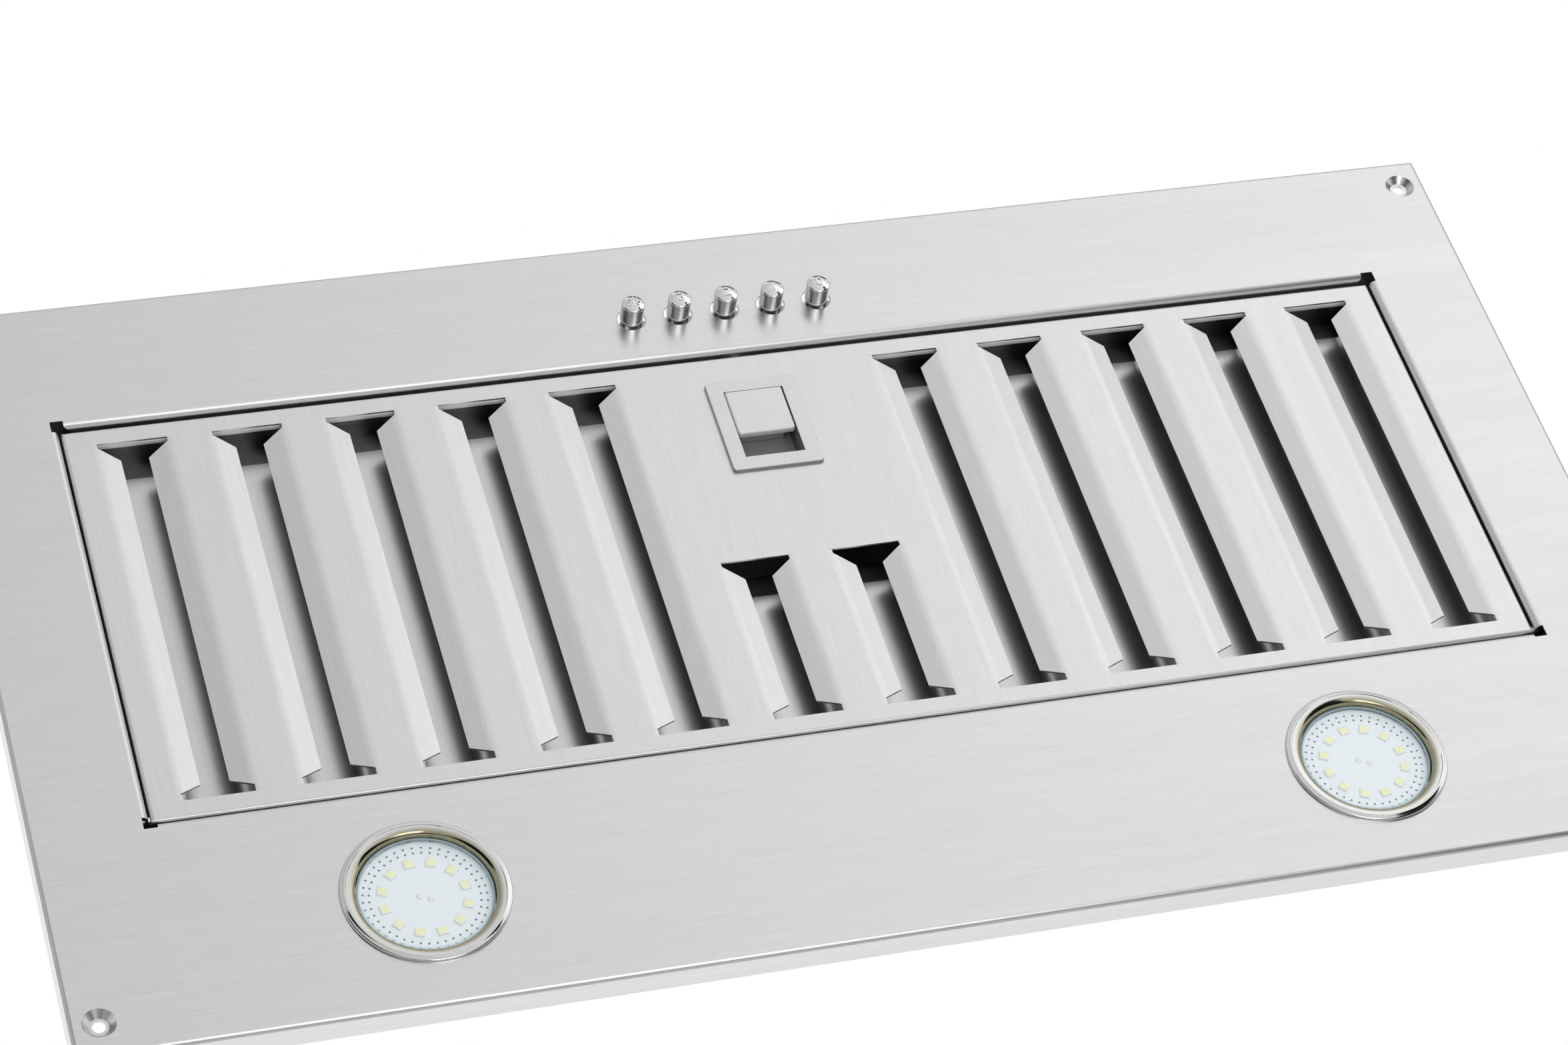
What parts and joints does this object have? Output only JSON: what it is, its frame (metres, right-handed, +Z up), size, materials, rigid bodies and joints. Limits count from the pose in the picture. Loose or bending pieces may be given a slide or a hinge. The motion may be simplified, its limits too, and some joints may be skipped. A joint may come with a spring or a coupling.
{
  "type": "range hood insert",
  "caption": "Built-in range hood insert: brushed steel fascia with a slotted baffle filter on a hinge, sliding latch, push buttons and round lamps; blower housing and duct collar behind.",
  "frame": {"origin": "centre of the four screw seats in the fascia, half way through the sheet", "axes": "+Z up into the cabinet as installed, with the fascia facing down; +X along the long side; -Y towards the cook, where the push buttons are"},
  "size_m": [0.638, 0.356, 0.2015],
  "materials": {
    "brushed_panel": "brushed along X",
    "galvanised": "galvanised sheet, fine spangle",
    "zinc_fasteners": "bright zinc",
    "bright_rod": "ground steel",
    "flap_plastic": "satin",
    "inlet_plastic": "satin",
    "wheel_galvanised": "galvanised",
    "motor_cast": "as cast",
    "bearing_steel": "ground",
    "capacitor_plastic": "satin",
    "clip_steel": "spring steel",
    "terminal_plastic": "satin",
    "gland_plastic": "satin",
    "switch_plastic": "satin",
    "button_chrome": "polished",
    "spring_steel": "drawn wire",
    "brushed_filter": "brushed along Y",
    "filter_strips": "brushed along Y",
    "filter_channel": "mill finish",
    "latch_cast": "satin, fine speckle",
    "ring_chrome": "polished",
    "lamp_glass": "clear",
    "board_white": "white solder mask",
    "led_yellow": "phosphor yellow",
    "lamp_case": "satin",
    "holder_ceramic": "ceramic"
  },
  "bodies": {
    "hood": {"fascia_panel": "brushed_panel", "housing_shell": "galvanised", "housing_top": "galvanised", "duct_collar": "galvanised", "blower_scroll": "galvanised", "outlet_flange": "galvanised", "switch_bracket": "galvanised", "junction_box": "galvanised", "junction_cover": "galvanised", "panel_studs": "zinc_fasteners", "stud_nuts": "zinc_fasteners", "top_screws": "zinc_fasteners", "collar_screws": "zinc_fasteners", "junction_screws": "zinc_fasteners", "damper_rod": "bright_rod", "inlet_ring_left": "inlet_plastic", "inlet_ring_right": "inlet_plastic", "motor_body": "motor_cast", "motor_bracket": "motor_cast", "motor_bearings": "bearing_steel", "capacitor": "capacitor_plastic", "capacitor_clip": "clip_steel", "lamp_clips": "clip_steel", "terminal_block": "terminal_plastic", "cable_gland": "gland_plastic", "gland_nut": "gland_plastic", "switch_block": "switch_plastic", "button_spring_light": "spring_steel", "button_spring_3": "spring_steel", "button_spring_2": "spring_steel", "button_spring_1": "spring_steel", "button_spring_0": "spring_steel", "lamp_ring_left": "ring_chrome", "lamp_glass_left": "lamp_glass", "lamp_board_left": "board_white", "lamp_leds_left": "led_yellow", "lamp_body_left": "lamp_case", "lamp_ring_right": "ring_chrome", "lamp_glass_right": "lamp_glass", "lamp_board_right": "board_white", "lamp_leds_right": "led_yellow", "lamp_body_right": "lamp_case", "lamp_holders": "holder_ceramic"},
    "rotor": {"fan_wheel": "wheel_galvanised", "motor_shaft": "bright_rod"},
    "front_flap": {"damper_flap_front": "flap_plastic"},
    "rear_flap": {"damper_flap_rear": "flap_plastic"},
    "filter": {"filter_face": "brushed_filter", "filter_frame": "filter_channel", "filter_back": "filter_strips", "filter_crossbar": "filter_strips", "filter_pins": "zinc_fasteners", "latch_bezel": "latch_cast", "latch_spring": "spring_steel"},
    "latch": {"latch_slide": "latch_cast"},
    "push_button_light": {"button_light": "button_chrome"},
    "push_button_3": {"button_3": "button_chrome"},
    "push_button_2": {"button_2": "button_chrome"},
    "push_button_1": {"button_1": "button_chrome"},
    "push_button_0": {"button_0": "button_chrome"}
  },
  "joints": [
    {"name": "filter_swing", "type": "hinge", "parent": "hood", "child": "filter", "pos_m": [0, 0.0764, 0.002], "axis": [1, 0, 0], "range_deg": [0, 75]},
    {"name": "latch_pull", "type": "slide", "parent": "filter", "child": "latch", "axis": [0, 1, 0], "range_m": [0, 0.006], "stiffness_N_per_m": 600, "springref_m": -0.006, "deforming": ["latch_spring"]},
    {"name": "fan_spin", "type": "hinge", "parent": "hood", "child": "rotor", "pos_m": [0, 0.017, 0.079], "axis": [1, 0, 0], "continuous": true},
    {"name": "front_flap_swing", "type": "hinge", "parent": "hood", "child": "front_flap", "pos_m": [0, -0.02, 0.158], "axis": [-1, 0, 0], "range_deg": [0, 75]},
    {"name": "rear_flap_swing", "type": "hinge", "parent": "hood", "child": "rear_flap", "pos_m": [0, -0.02, 0.158], "axis": [1, 0, 0], "range_deg": [0, 75]},
    {"name": "press_light", "type": "slide", "parent": "hood", "child": "push_button_light", "axis": [0, 0, 1], "range_m": [0, 0.003], "stiffness_N_per_m": 400, "springref_m": -0.004, "deforming": ["button_spring_light"]},
    {"name": "press_3", "type": "slide", "parent": "hood", "child": "push_button_3", "axis": [0, 0, 1], "range_m": [0, 0.003], "stiffness_N_per_m": 400, "springref_m": -0.004, "deforming": ["button_spring_3"]},
    {"name": "press_2", "type": "slide", "parent": "hood", "child": "push_button_2", "axis": [0, 0, 1], "range_m": [0, 0.003], "stiffness_N_per_m": 400, "springref_m": -0.004, "deforming": ["button_spring_2"]},
    {"name": "press_1", "type": "slide", "parent": "hood", "child": "push_button_1", "axis": [0, 0, 1], "range_m": [0, 0.003], "stiffness_N_per_m": 400, "springref_m": -0.004, "deforming": ["button_spring_1"]},
    {"name": "press_0", "type": "slide", "parent": "hood", "child": "push_button_0", "axis": [0, 0, 1], "range_m": [0, 0.003], "stiffness_N_per_m": 400, "springref_m": -0.004, "deforming": ["button_spring_0"]}
  ]
}
